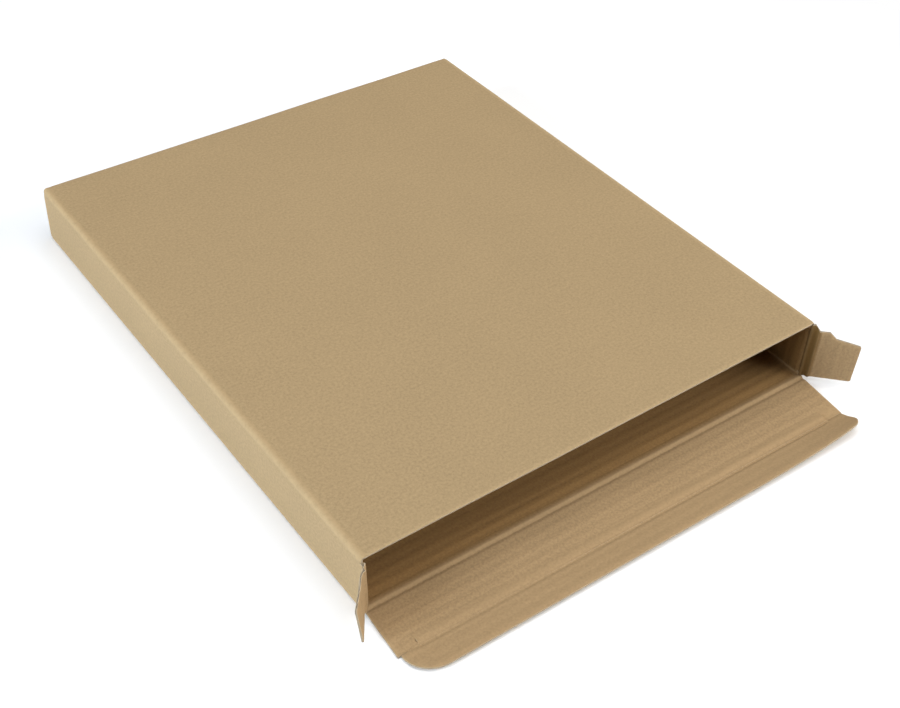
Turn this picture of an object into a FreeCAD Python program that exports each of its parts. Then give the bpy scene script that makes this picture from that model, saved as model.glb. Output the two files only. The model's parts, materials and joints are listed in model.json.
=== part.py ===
import FreeCAD, Part
import math
import os

# A shallow carton folded from one sheet of brown corrugated board. A flat sleeve is open at the
# front, where a lid, its tuck flap and two dust flaps hang on creases. The back end is closed by
# the same set of flaps. Lengths are in millimetres, angles in degrees.
# X runs along the open end, Y from the open end to the closed one, Z up from the floor.
# The origin is the middle of the bottom panel's underside.

Vector = FreeCAD.Vector
ORIGIN = Vector(0, 0, 0)
ALONG_X = Vector(1, 0, 0)
ALONG_Y = Vector(0, 1, 0)
ALONG_Z = Vector(0, 0, 1)

# Sleeve
box_width = 320.0
box_length = 373.0
box_height = 40.3
board = 1.8
fold_radius = 2.5
inner_fold_radius = 0.6

# Creases and cut edges
crease_gap = 0.3
bead_height = 0.4
bead_width = 3.0
edge_crush = 0.4
running_clearance = 0.15

# Lid and tuck flap
lid_inset = 1.2
tuck_inset = 1.8
tuck_depth = 18.0
tuck_corner = 16.5
tuck_play = 1.0
tuck_lift = 8.0
slit_length = 15.0
slit_hook = 1.8
slit_width = 0.4

# Dust flaps, by their distance out from the crease and their height
dust_length = 27.0
dust_shoulder_end = 9.5
dust_step = 4.0
dust_step_drop = 4.2
dust_end_drop = 3.4
dust_root_slant = 1.0
dust_corner = 1.5
dust_splay = 45.0
dust_play = 0.8

# Derived places
half_width = box_width / 2
half_length = box_length / 2
half_board = board / 2
half_gap = crease_gap / 2
lid_half = half_width - lid_inset
tuck_half = lid_half - tuck_inset
slit_end = lid_half - slit_length
lid_lead = half_board + bead_height + running_clearance
lid_crease = -half_length - lid_lead
lid_depth = box_height - 3 * board - tuck_play
tuck_crease = lid_crease - lid_depth
dust_bottom = board + max(bead_height, inner_fold_radius) + running_clearance
dust_top = board + lid_depth - dust_play
dust_pivot_x = half_width - half_board


def prism(points, direction):
    """Solid made by pushing the closed polygon of the points along the direction."""
    wire = Part.makePolygon(points + [points[0]])
    return Part.Face(wire).extrude(direction)


def block(low, high):
    """Solid box between two corners."""
    size = high - low
    return Part.makeBox(size.x, size.y, size.z, low)


def crush(solid, keep):
    """Bevel the edges that keep() accepts, as a blade crushes the rim of the board."""
    edges = [edge for edge in solid.Edges if keep(edge)]
    return solid.makeChamfer(edge_crush, edges)


def edge_points(edge):
    """Both ends and the middle of an edge."""
    middle = edge.valueAt((edge.FirstParameter + edge.LastParameter) / 2)
    return [vertex.Point for vertex in edge.Vertexes] + [middle]


def rounded_rectangle(width, low, high, radius):
    """Closed outline in the XZ plane, centred on X, with four round corners."""
    x = width / 2
    reach = x - radius
    bend = radius * (1 - math.sqrt(0.5))
    corners = [(1, high, -1), (-1, high, -1), (-1, low, 1), (1, low, 1)]
    starts = []
    for side, level, inward in corners:
        on_side = Vector(side * x, 0, level + inward * radius)
        on_face = Vector(side * reach, 0, level)
        middle = Vector(side * (x - bend), 0, level + inward * bend)
        ends = (on_side, on_face) if side * inward < 0 else (on_face, on_side)
        starts.append((ends[0], middle, ends[1]))
    edges = []
    for number, (first, middle, last) in enumerate(starts):
        following = starts[(number + 1) % len(starts)][0]
        edges.append(Part.Arc(first, middle, last).toShape())
        edges.append(Part.LineSegment(last, following).toShape())
    return Part.Wire(edges)


def bead(low, high, across, up):
    """Low round ridge between two points, standing on the plane that across and up span."""
    run = high - low
    first = low
    top = low + across * (bead_width / 2) + up * bead_height
    last = low + across * bead_width
    arc = Part.Arc(first, top, last).toShape()
    chord = Part.LineSegment(last, first).toShape()
    return Part.Face(Part.Wire([arc, chord])).extrude(run)


def turned_to_back(solid):
    """The same flap at the back end, half a turn about Z away."""
    copy = solid.copy()
    copy.rotate(ORIGIN, ALONG_Z, 180)
    return copy


def mirrored_side(solid):
    """The same flap on the other side wall."""
    return solid.mirror(ORIGIN, ALONG_X)


def wall_end_cuts():
    """Four bevels that thin the front ends of the side walls to a crease in mid board."""
    height = ALONG_Z * (box_height - 2 * board)
    tip = -half_length + half_gap
    cuts = []
    for side in (-1, 1):
        for face in (half_width, half_width - board):
            middle = side * dust_pivot_x
            outer = side * face
            corners = [
                Vector(middle, tip, board),
                Vector(outer, tip + half_board, board),
                Vector(outer, -half_length, board),
                Vector(middle, -half_length, board),
            ]
            cuts.append(prism(corners, height))
    return cuts


def wall_end_slit(side):
    """Sliver of air between a side wall and its dust flap."""
    low = Vector(side * dust_pivot_x - half_board, -half_length, board)
    high = Vector(side * dust_pivot_x + half_board, -half_length + half_gap, box_height - board)
    return block(low, high)


def bottom_tongue():
    """Front edge of the bottom panel, which runs on to the lid's crease."""
    low = Vector(-lid_half, lid_crease + half_gap, 0)
    high = Vector(lid_half, -half_length + fold_radius, board)
    return block(low, high)


def sleeve():
    """Top, bottom and two side walls, folded round into one flat tube."""
    outside = rounded_rectangle(box_width, 0, box_height, fold_radius)
    inside = rounded_rectangle(
        box_width - 2 * board, board, box_height - board, inner_fold_radius
    )
    run = ALONG_Y * box_length
    tube = Part.Face(outside).extrude(run).cut(Part.Face(inside).extrude(run))
    tube.translate(Vector(0, -half_length, 0))

    def raw_top_rim(edge):
        return all(
            abs(abs(point.y) - half_length) < 1e-6
            and abs(point.z - (box_height - board)) < 1e-6
            for point in edge_points(edge)
        )

    tube = crush(tube, raw_top_rim)
    cuts = wall_end_cuts() + [wall_end_slit(-1), wall_end_slit(1)]
    cuts += [turned_to_back(cut) for cut in cuts]
    tube = tube.cut(cuts)
    floor_bead = bead(
        Vector(-lid_half, lid_crease + half_gap, board),
        Vector(lid_half, lid_crease + half_gap, board),
        ALONG_Y,
        ALONG_Z,
    )
    ends = [bottom_tongue(), floor_bead]
    ends += [turned_to_back(piece) for piece in ends]
    return tube.fuse(ends).removeSplitter()


def slit_hooks():
    """Short cuts back into the lid where the slits beside the tuck crease end."""
    cuts = []
    for side in (-1, 1):
        middle = side * slit_end
        low = Vector(middle - slit_width / 2, tuck_crease, 0)
        high = Vector(middle + slit_width / 2, tuck_crease + slit_hook, board)
        cuts.append(block(low, high))
    return cuts


def flat_lid():
    """Lid lying level in front of the bottom panel, its inner face up.

    The crease bead lies only between the slits, which part the tuck flap's ends from the lid.
    """
    root = lid_crease - half_gap
    far = tuck_crease + half_gap
    plate = block(Vector(-lid_half, far, 0), Vector(lid_half, root, board))

    def cut_side(edge):
        points = edge_points(edge)
        return all(abs(abs(point.x) - lid_half) < 1e-6 for point in points) and (
            abs(points[0].z - points[1].z) < 1e-6
        )

    plate = crush(plate, cut_side)
    ridge = bead(
        Vector(-slit_end, far, board),
        Vector(slit_end, far, board),
        ALONG_Y,
        ALONG_Z,
    )
    return plate.fuse(ridge).removeSplitter().cut(slit_hooks())


def flat_tuck():
    """Tuck flap with round ends, lying level beyond the lid."""
    root = tuck_crease - half_gap
    far = tuck_crease - tuck_depth
    start = far + tuck_corner
    bend = tuck_corner * (1 - math.sqrt(0.5))
    right = [
        Vector(tuck_half, start, 0),
        Vector(tuck_half - bend, far + bend, 0),
        Vector(tuck_half - tuck_corner, far, 0),
    ]
    left = [Vector(-point.x, point.y, 0) for point in right]
    outline = Part.Wire(
        [
            Part.LineSegment(Vector(-tuck_half, root, 0), Vector(tuck_half, root, 0)).toShape(),
            Part.LineSegment(Vector(tuck_half, root, 0), right[0]).toShape(),
            Part.Arc(right[0], right[1], right[2]).toShape(),
            Part.LineSegment(right[2], left[2]).toShape(),
            Part.Arc(left[2], left[1], left[0]).toShape(),
            Part.LineSegment(left[0], Vector(-tuck_half, root, 0)).toShape(),
        ]
    )
    plate = Part.Face(outline).extrude(ALONG_Z * board)

    def cut_rim(edge):
        points = edge_points(edge)
        level = all(abs(point.z - points[0].z) < 1e-6 for point in points)
        return level and not all(abs(point.y - root) < 1e-6 for point in points)

    return crush(plate, cut_rim)


def dust_outline():
    """Corners of a dust flap seen from its side, as distance out from the crease and height."""
    step_end = dust_shoulder_end + dust_step
    step_height = dust_top - dust_step_drop
    return [
        (half_gap, dust_bottom),
        (dust_length, dust_bottom),
        (dust_length, step_height - dust_end_drop),
        (step_end, step_height),
        (dust_shoulder_end, dust_top),
        (dust_root_slant + half_board, dust_top),
        (half_gap, dust_top + dust_root_slant),
    ]


def straight_dust_flap():
    """Left dust flap pointing straight out of the box, in line with its side wall."""
    outer = -half_width
    side = [Vector(outer, -half_length - out, height) for out, height in dust_outline()]
    profile = prism(side, ALONG_X * board)

    def cut_corner(edge):
        points = edge_points(edge)
        far_out = all(point.y < -half_length - board for point in points)
        return far_out and abs(points[0].x - points[1].x) > half_board

    corners = [edge for edge in profile.Edges if cut_corner(edge)]
    profile = profile.makeFillet(dust_corner, corners)
    middle = -dust_pivot_x
    tip = -half_length - half_gap
    plan = [
        Vector(middle, tip, 0),
        Vector(outer, tip - half_board, 0),
        Vector(outer, -half_length - dust_length, 0),
        Vector(outer + board, -half_length - dust_length, 0),
        Vector(outer + board, tip - half_board, 0),
    ]
    flap = profile.common(prism(plan, ALONG_Z * box_height))

    def cut_rim(edge):
        points = edge_points(edge)
        on_face = all(abs(abs(point.x - middle) - half_board) < 1e-6 for point in points)
        near_root = all(abs(point.y - tip + half_board) < 1e-6 for point in points)
        short = edge.Length < 2 * edge_crush
        return on_face and not near_root and not short

    return crush(flap, cut_rim)


def folded_dust_flap(inward):
    """Left dust flap turned about its crease by an angle, positive into the box."""
    flap = straight_dust_flap()
    flap.rotate(Vector(-dust_pivot_x, -half_length, 0), ALONG_Z, inward)
    return flap


def raised_tuck(angle):
    """Tuck flap turned up about its crease on the level lid."""
    flap = flat_tuck()
    flap.rotate(Vector(0, tuck_crease, board), ALONG_X, -angle)
    return flap


def closed(solid):
    """A lid, or a flap on it, turned up with the lid to close the front end."""
    copy = solid.copy()
    copy.rotate(Vector(0, lid_crease, board), ALONG_X, -90)
    return copy


def nodes():
    """Every sub-part at rest, by name."""
    open_dust = folded_dust_flap(-dust_splay)
    shut_dust = folded_dust_flap(90)
    return {
        "sleeve": sleeve(),
        "front_lid": flat_lid(),
        "front_tuck_flap": raised_tuck(tuck_lift),
        "front_left_dust_flap": open_dust,
        "front_right_dust_flap": mirrored_side(open_dust),
        "back_lid": turned_to_back(closed(flat_lid())),
        "back_tuck_flap": turned_to_back(closed(raised_tuck(90))),
        "back_left_dust_flap": turned_to_back(mirrored_side(shut_dust)),
        "back_right_dust_flap": turned_to_back(shut_dust),
    }


os.makedirs("parts", exist_ok=True)
for name, shape in nodes().items():
    shape.exportStep("parts/" + name + ".step")
    print(name, shape.isValid(), len(shape.Solids), round(shape.Volume, 1))
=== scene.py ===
"""Shallow carton of brown corrugated board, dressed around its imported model.

Lengths are in metres. X runs along the open end, Y from the open end to the closed one, Z up.
Every flap is one sheet of board that runs on over its crease, so it starts inside the panel
that carries it. A sheet is a grid: rows run out of the box (v) and columns along the flutes (u).
"""

import json
import math

import bpy
import numpy as np
from bpy.props import FloatProperty, FloatVectorProperty, PointerProperty
from mathutils import Matrix, Vector


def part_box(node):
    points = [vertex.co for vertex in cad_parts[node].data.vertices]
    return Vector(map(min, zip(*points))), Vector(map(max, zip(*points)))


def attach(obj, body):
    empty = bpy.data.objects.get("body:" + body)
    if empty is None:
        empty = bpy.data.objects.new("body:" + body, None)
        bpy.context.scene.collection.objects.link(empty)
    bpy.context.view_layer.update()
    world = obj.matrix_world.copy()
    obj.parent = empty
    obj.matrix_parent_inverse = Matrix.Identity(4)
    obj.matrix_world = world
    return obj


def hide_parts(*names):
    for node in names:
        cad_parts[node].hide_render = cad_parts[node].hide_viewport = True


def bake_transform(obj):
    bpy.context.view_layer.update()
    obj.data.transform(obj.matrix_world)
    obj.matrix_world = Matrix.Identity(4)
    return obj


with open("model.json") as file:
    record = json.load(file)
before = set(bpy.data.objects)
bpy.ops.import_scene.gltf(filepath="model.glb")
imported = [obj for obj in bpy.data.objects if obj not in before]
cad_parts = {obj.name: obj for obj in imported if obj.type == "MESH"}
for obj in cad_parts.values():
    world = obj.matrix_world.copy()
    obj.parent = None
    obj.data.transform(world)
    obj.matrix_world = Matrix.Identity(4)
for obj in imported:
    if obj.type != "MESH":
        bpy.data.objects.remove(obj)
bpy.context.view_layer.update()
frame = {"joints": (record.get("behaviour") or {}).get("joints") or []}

bl_info = {
    "name": "Brown Board Carton",
    "version": (1, 0, 0),
    "blender": (4, 5, 0),
    "location": "View3D > Sidebar > Carton",
    "description": "Builds the sleeve, lids and flaps of a shallow carton with their finish",
    "category": "Add Mesh",
}

JOINTS = {joint["name"]: joint for joint in frame["joints"]}
LID_PIVOT = JOINTS["front_lid_fold"]["pos_m"]
TUCK_PIVOT = JOINTS["front_tuck_fold"]["pos_m"]
DUST_PIVOT = JOINTS["front_right_dust_fold"]["pos_m"]

HALF_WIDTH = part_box("sleeve")[1].x
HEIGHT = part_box("sleeve")[1].z
HALF_LENGTH = -DUST_PIVOT[1]
BOARD = LID_PIVOT[2]
LID_CREASE = -LID_PIVOT[1]
LID_DEPTH = LID_PIVOT[1] - TUCK_PIVOT[1]
LID_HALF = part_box("front_lid")[1].x
TUCK_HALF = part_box("front_tuck_flap")[1].x
WALL_MIDDLE = DUST_PIVOT[0]
DUST_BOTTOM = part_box("front_right_dust_flap")[0].z
DUST_ROOT_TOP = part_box("front_right_dust_flap")[1].z

ALONG_X = np.array([1.0, 0.0, 0.0])
ALONG_Z = np.array([0.0, 0.0, 1.0])
OUTSIDE, INSIDE, CUT, OPEN_FLUTES = range(4)
QUARTER_TURN = math.pi / 2
FLOOR_LEVEL = -0.0001
WAVE_SEEDS = {"sleeve": 7, "front": 11, "back": 12}

# Grid steps across the panels, the walls and the flaps, and along them beside a crease. Extra
# stations lie beside the folds, the cut edges and the slits' inner ends.
PANEL_STEP, WALL_STEP, FLAP_STEP, CREASE_STEP = 0.009, 0.0045, 0.006, 0.0004
ARC_STEPS, MIDDLE_ROWS = 6, 34
BY_FOLD = np.array([0.001, 0.002, 0.003, 0.004, 0.0055, 0.0075])
BY_EDGE = np.array([0.0003, 0.0007, 0.0012, 0.002, 0.0035])
BY_SLIT = np.array([-6, -3, -1.5, 0, 1.5, 3, 6]) * 0.0001

# Cut edges: the rim's bulge, its levels across the board, and the widths of the crushed strip
# (on flaps and at the sleeve's mouth) and of the scuffed one.
RIM_BULGE = 0.00012
RIM_LEVELS = (0.0, 0.3, 0.7, 1.0)
FLAP_CRUSH, MOUTH_CRUSH, SCUFFED_STRIP = 0.0011, 0.0012, 0.0008

# How deep a flap's root dips into its panel and over what width, how far the tuck flap's root
# runs back into the lid, and how far the washboard reaches into the sleeve.
ROOT_DIP, ROOT_DIP_WIDTH = 0.0004, 0.0006
TUCK_ROOT = 0.009
END_ZONE, END_FADE = 0.05, 0.012
WALL_SET_BACK = 0.002
DUST_CORNER = 0.0010

# Bumps across a crease on the inner face: height as a share of the bead, distance past the
# crease, and the width behind and before the crest (one width where they are the same).
LID_BUMPS = ((0.7, -0.0001, 0.0024, 0.0008), (-0.45, 0.0018, 0.0009))
TUCK_BUMPS = ((1.0, -0.0024, 0.0033, 0.0013), (-0.75, 0.0010, 0.0009))
DUST_BUMPS = (
    (1.2, -0.0012, 0.0008), (1.08, 0.0022, 0.0009),
    (-0.42, 0.0005, 0.0006), (-0.36, -0.0031, 0.0008),
)

# Bumps beside the sleeve's folds, in metres: a valley outside and crushed board inside.
FOLD_VALLEY = ((-0.00016, 0.0022, 0.0011),)
FOLD_CRUSH = ((0.00025, 0.0, 0.0015),)
# Share of the washboard that shows outside, and the level of painted shade on the right wall's
# inner face.
WASHBOARD_OUTSIDE, RIGHT_WALL_SHADE = 0.15, -0.4

# Marks by the slits: strength, width along the crease, and place and width back from it. The
# slits themselves open from the first gap to the sum of both.
SLIT_HOOK = (-0.0008, 0.00025, 0.0033, 0.0006)
SLIT_TEAR = (1.6, 0.0016, 0.0024, 0.0009)
SLIT_GAP, SLIT_OPENING = 0.00002, 0.00025

# Distances from the origin between which the floor turns from its own colour to white.
FLOOR_NEAR, FLOOR_FAR = 0.32, 0.60


def length_of(name, description, default, **limits):
    """Property that holds a length in metres."""
    return FloatProperty(
        name=name, description=description, default=default, unit="LENGTH", **limits
    )


def angle_of(name, description, degrees):
    """Property that holds an angle, given here in degrees."""
    return FloatProperty(
        name=name, description=description, default=math.radians(degrees), subtype="ANGLE"
    )


def power_of(name, description, default, **limits):
    """Property that holds a lamp's power in watts."""
    return FloatProperty(
        name=name, description=description, default=default, unit="POWER", **limits
    )


def colour_of(name, description, default):
    """Property that holds a colour."""
    return FloatVectorProperty(
        name=name, description=description, default=default,
        subtype="COLOR", size=3, min=0.0, max=1.0,
    )


class CartonBoard(bpy.types.PropertyGroup):
    flute_pitch: length_of("Flute Pitch", "Distance from one flute to the next", 0.0064, min=0.002)
    washboard: length_of(
        "Washboard", "How far the liners sink between the flutes", 0.00005, min=0.0
    )
    fold_radius: length_of(
        "Fold Radius", "Outer radius of the sleeve's four long folds", 0.0025, min=0.002
    )
    inner_fold_radius: length_of(
        "Inner Fold Radius", "Inner radius of the sleeve's four long folds", 0.0006, min=0.0001
    )
    bead_height: length_of(
        "Bead Height", "Height of the ridge that a crease pushes up", 0.0009, min=0.0
    )
    rim_crush: length_of(
        "Rim Crush", "How much thinner the board is at a cut edge", 0.0007, min=0.0
    )
    sag: length_of("Sag", "Height of the slow waves in the large panels", 0.0003, min=0.0)
    front_shift: length_of("Front Shift", "How far the open end has slid to the right", 0.002)
    corner_lift: length_of("Corner Lift", "How far the mouth's upper right corner gapes", 0.005)
    heel_lift: length_of(
        "Heel Lift", "How far the mouth's lower right corner is off the floor", 0.0015
    )
    lid_skew: length_of("Lid Skew", "How much further out the lid reaches on the right", 0.001)


class CartonFlaps(bpy.types.PropertyGroup):
    crease_reach: length_of(
        "Crease Reach", "Half the width of board that bends at a crease", 0.00145, min=0.0005
    )
    root: length_of(
        "Root", "How far a flap's sheet starts inside the panel before it", 0.0050, min=0.002
    )
    tuck_depth: length_of("Tuck Depth", "Depth of the tuck flap", 0.018, min=0.005)
    tuck_corner: length_of(
        "Tuck Corner", "Radius of the tuck flap's round ends", 0.0165, min=0.001
    )
    tuck_right_corner: length_of(
        "Tuck Right Corner", "Radius of its right end, which is less round", 0.009, min=0.001
    )
    tuck_lift: angle_of("Tuck Lift", "Angle of the open tuck flap at its left end", 6.5)
    tuck_twist: angle_of("Tuck Twist", "Even rise of that angle to the right end", 4)
    tuck_curl: angle_of("Tuck Curl", "Further rise of that angle close to the right end's tip", 18)
    slit_length: length_of(
        "Slit Length", "Length of the slits at the tuck crease's ends", 0.013, min=0.0
    )
    dust_length: length_of(
        "Dust Flap Length", "Reach of a dust flap from its crease", 0.027, min=0.01
    )
    dust_shoulder: length_of("Shoulder", "Length of the dust flap's high shoulder", 0.0095)
    dust_step: length_of("Step", "Length of the slope after the shoulder", 0.004)
    dust_step_drop: length_of("Step Drop", "Height of the slope after the shoulder", 0.0042)
    dust_end_drop: length_of("End Drop", "Fall of the top edge from the slope to the end", 0.0034)
    dust_slant: length_of(
        "End Slant", "How much shorter a dust flap is at its bottom edge", 0.0013
    )
    dust_crease: length_of(
        "Dust Crease", "How far the dust flaps' creases lie before the mouth", 0.0015
    )
    left_splay: FloatVectorProperty(
        name="Left Splay", description="Angles of the left dust flap at its bottom and top",
        unit="ROTATION", size=2, default=(math.radians(33.5), math.radians(44)),
    )
    right_splay: FloatVectorProperty(
        name="Right Splay", description="Angles of the right dust flap at its bottom and top",
        unit="ROTATION", size=2, default=(math.radians(45.5), math.radians(48)),
    )
    left_rise: length_of("Left Rise", "How far the left dust flap's end stands up", 0.004)
    left_bow: length_of("Left Bow", "How far the left dust flap's crease bows inwards", 0.0016)
    right_web: length_of("Right Web", "How far the right flap's creased board reaches up", 0.0038)
    right_stretch: length_of(
        "Right Stretch", "How much further the right dust flap reaches", 0.0044
    )


class CartonFinish(bpy.types.PropertyGroup):
    outer_colour: colour_of(
        "Outer Liner", "Colour of the board's outer face", (0.344, 0.242, 0.126)
    )
    inner_colour: colour_of(
        "Inner Liner", "Colour of the board's inner face", (0.309, 0.204, 0.102)
    )
    # Painted shade: the inner face turns to this darker brown away from the mouth.
    inside_shade_colour: colour_of(
        "Deep Inside", "Colour of the inner face away from the mouth", (0.265, 0.150, 0.054)
    )
    cut_colour: colour_of("Cut Edge", "Colour of the board's cut edges", (0.42, 0.33, 0.22))
    fibre_strength: FloatProperty(
        name="Fibres", description="Strength of the paper's flecks",
        default=1.0, min=0.0, max=2.0, subtype="FACTOR",
    )


class CartonStage(bpy.types.PropertyGroup):
    camera_place: FloatVectorProperty(
        name="Camera", description="Where the camera stands",
        subtype="TRANSLATION", size=3, default=(-0.40154, -0.56404, 0.57309), unit="LENGTH",
    )
    camera_aim: FloatVectorProperty(
        name="Aim", description="The point on the floor in the middle of the picture",
        subtype="TRANSLATION", size=3, default=(-0.00506, -0.0516, 0.0), unit="LENGTH",
    )
    camera_roll: angle_of("Roll", "How far the camera leans to its left", 3.133)
    camera_lens: FloatProperty(
        name="Lens", description="Focal length in millimetres on a 36 mm wide picture",
        default=56.31, min=10.0,
    )
    sky_strength: FloatProperty(
        name="Sky", description="Light from all round", default=0.02, min=0.0,
    )
    left_power: power_of("Left Lamp", "Power of the large lamp at the left", 111.0, min=0.0)
    top_power: power_of("Top Lamp", "Power of the large lamp overhead", 77.0, min=0.0)
    front_power: power_of(
        "Front Lamp", "Power of the large lamp at the front right", 91.0, min=0.0
    )
    floor_size: length_of("Floor Size", "Width of the pale floor", 12.0)


def settings(group):
    """One of the carton's property groups, as the scene holds it."""
    return getattr(bpy.context.scene, group)


def smooth_step(value):
    """0 below 0, 1 above 1, and 3t^2 - 2t^3 between."""
    t = np.clip(value, 0.0, 1.0)
    return t * t * (3 - 2 * t)


def hump(distance, width):
    """Bell that is 1 at no distance and falls as exp(-(distance / width)^2)."""
    return np.exp(-((distance / width) ** 2))


def slow_waves(u, v, seed):
    """Sum of five sine waves in chosen directions, 60 to 220 mm long, between -1 and 1."""
    random = np.random.default_rng(seed)
    total = np.zeros(np.broadcast(u, v).shape)
    for _ in range(5):
        heading, phase = random.uniform(0, 2 * math.pi, 2)
        wavelength = random.uniform(0.06, 0.22)
        along = u * math.cos(heading) + v * math.sin(heading)
        total += np.sin(2 * math.pi * along / wavelength + phase)
    return total / 5


def washboard(v):
    """Shallow valleys between the flutes: a cosine over the flute pitch."""
    board = settings("carton_board")
    return board.washboard * (np.cos(2 * math.pi * v / board.flute_pitch) - 1) / 2


def turned(points, pivot, axis, angles):
    """Each point turned about the line through the pivot along the axis, by its own angle.

    Rodrigues' formula: p cos a + (axis x p) sin a + axis (axis . p)(1 - cos a).
    """
    p = points - np.asarray(pivot)
    a = np.broadcast_to(angles, points.shape[:-1])[..., None]
    along = (p @ axis)[..., None] * axis
    turn = p * np.cos(a) + np.cross(axis, p) * np.sin(a) + along * (1 - np.cos(a))
    return np.asarray(pivot) + turn


def settled(points, free_end):
    """Slight racking of the light board, worked in over the whole length.

    The mouth slides right, and its right corners rise, both in proportion to the distance from
    the closed end. On the lid (free_end) both fade out towards its far edge, which lies down.
    """
    board = settings("carton_board")
    x, y, z = points[..., 0], points[..., 1], points[..., 2]
    near = np.clip((HALF_LENGTH - y) / (2 * HALF_LENGTH), 0.0, 1.0)
    right = np.clip((x + HALF_WIDTH) / (2 * HALF_WIDTH), 0.0, 1.0)
    height = np.clip(z / HEIGHT, 0.0, 1.0)
    out = np.clip((-y - LID_CREASE) / LID_DEPTH, 0.0, 1.0) if free_end else np.zeros_like(y)
    held = 1 - out
    moved = points.copy()
    moved[..., 0] += board.front_shift * near * held
    moved[..., 1] -= board.lid_skew * right * out
    lift = board.heel_lift + (board.corner_lift - board.heel_lift) * height
    moved[..., 2] += lift * near * right * held
    return moved


def at_end(points, front, free_end=False):
    """A flap on the racked front end, or by half a turn about Z on the back end."""
    return settled(points, free_end) if front else points * np.array([-1.0, -1.0, 1.0])


def stations(*parts, digits=7):
    """All the given stations in order, each once."""
    return np.unique(np.round(np.concatenate(parts), digits))


def spread(low, high, step, fine=()):
    """Even stations between two values, about a step apart, with extra ones near both ends."""
    count = max(2, int(round((high - low) / step)) + 1)
    fine = np.asarray(fine)
    return stations(np.linspace(low, high, count), low + fine, high - fine)


def rim_rings(rows, cols, wrap):
    """Grid places along the rims as (from, to) pairs, in the order the faces run round them."""
    if wrap:
        across = np.arange(cols)
        front = np.stack([np.zeros(cols, int), across, np.zeros(cols, int), across + 1])
        last = np.full(cols, rows - 1)
        back = np.stack([last, cols - across, last, cols - across - 1])
        return [front, back]
    i, j = np.arange(rows), np.arange(cols)
    corners = [
        (np.zeros(cols, int), j),
        (i, np.full(rows, cols - 1)),
        (np.full(cols, rows - 1), j[::-1]),
        (i[::-1], np.zeros(rows, int)),
    ]
    sides = [np.stack([a[:-1], b[:-1], a[1:], b[1:]]) for a, b in corners]
    return [np.concatenate(sides, axis=1)]


def add_object(name, data):
    """New object in the scene, at the origin."""
    made = bpy.data.objects.new(name, data)
    bpy.context.scene.collection.objects.link(made)
    return made


def shell(name, inner, outer, flat, wear, wrap=False):
    """Closed sheet of board between two grids of points.

    Both faces are grids of quads. Round each rim two more rows of points join the faces: they
    are the weighted mean of both faces, pushed out by a parabola across the board's thickness.
    flat holds each point's (u, v) on the unfolded board, and the rim takes its distance along
    the edge and across the board. The grid of levels is above zero where the paper is scuffed or a
    highlight is painted, and below zero where shade is painted, which only the inner face shows.
    Faces are turned outwards by the sign of the shell's volume.
    """
    rows, cols = inner.shape[:2]
    count = rows * cols
    span = cols if wrap else cols - 1
    i, j = (part.ravel() for part in np.mgrid[: rows - 1, :span])
    corner_i = np.stack([i, i, i + 1, i + 1], axis=-1)
    corner_j = np.stack([j, j + 1, j + 1, j], axis=-1)
    index = corner_i * cols + corner_j % cols
    face_uv = flat[corner_i, corner_j]
    quads = [index, index[:, ::-1] + count]
    uvs = [face_uv, face_uv[:, ::-1] + np.array([1.0, 0.0])]
    kinds = [np.full(len(index), INSIDE), np.full(len(index), OUTSIDE)]
    vertices = [inner.reshape(-1, 3), outer.reshape(-1, 3)]
    wear_and_light_level = [wear.reshape(-1), np.maximum(wear, 0.0).reshape(-1)]
    total = 2 * count
    for ring in rim_rings(rows, cols, wrap):
        i0, j0, i1, j1 = ring
        size = len(i0)
        inward = (np.clip(i0, 1, rows - 2), j0 % cols if wrap else np.clip(j0, 1, cols - 2))
        edge_in, edge_out = inner[i0, j0 % cols], outer[i0, j0 % cols]
        middle = (edge_in + edge_out) / 2
        away = middle - (inner[inward] + outer[inward]) / 2
        away /= np.linalg.norm(away, axis=-1, keepdims=True)
        ids = [i0 * cols + j0 % cols]
        for level in RIM_LEVELS[1:-1]:
            push = RIM_BULGE * 4 * level * (1 - level)
            vertices.append(edge_in * (1 - level) + edge_out * level + away * push)
            wear_and_light_level.append(np.ones(size))
            ids.append(total + np.arange(size))
            total += size
        ids.append(ids[0] + count)
        across_flutes = (i0 != i1).astype(int)
        start = flat[i0, j0, across_flutes]
        stop = flat[i1, j1, across_flutes]
        for lower in range(len(RIM_LEVELS) - 1):
            near, far = ids[lower], ids[lower + 1]
            following_near, following_far = np.roll(near, -1), np.roll(far, -1)
            quads.append(np.stack([following_near, near, far, following_far], axis=-1))
            low, high = RIM_LEVELS[lower : lower + 2]
            along = np.stack([stop, start, start, stop], axis=-1)
            across = np.broadcast_to([low, low, high, high], along.shape) * BOARD
            uvs.append(np.stack([along, across], axis=-1))
            kinds.append(np.where(across_flutes == 1, OPEN_FLUTES, CUT))
    vertices = np.concatenate(vertices)
    quads, uvs, kinds = np.concatenate(quads), np.concatenate(uvs), np.concatenate(kinds)
    a, b, c, d = (vertices[quads[:, k]] for k in range(4))
    volume = np.einsum("ij,ij->", a, np.cross(b, c)) + np.einsum("ij,ij->", a, np.cross(c, d))
    if volume < 0:
        quads, uvs = quads[:, ::-1], uvs[:, ::-1]
    mesh = bpy.data.meshes.new(name)
    mesh.from_pydata(vertices.tolist(), [], quads.tolist())
    mesh.uv_layers.new(name="board").data.foreach_set("uv", uvs.astype(np.float32).ravel())
    mesh.polygons.foreach_set("material_index", kinds.astype(np.int32))
    mesh.polygons.foreach_set("use_smooth", np.isin(kinds, (INSIDE, OUTSIDE)))
    mesh.attributes.new("wear", "FLOAT", "POINT").data.foreach_set(
        "value", np.concatenate(wear_and_light_level).astype(np.float32)
    )
    for material in ("carton_outside", "carton_inside", "carton_cut_edge", "carton_flute_ends"):
        mesh.materials.append(bpy.data.materials[material])
    mesh.update()
    piece = add_object(name, mesh)
    return piece


def ridge(out, centre, behind, before=None):
    """Bump that may slope differently behind and before its crest."""
    return hump(out - centre, np.where(out < centre, behind, before or behind))


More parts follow.
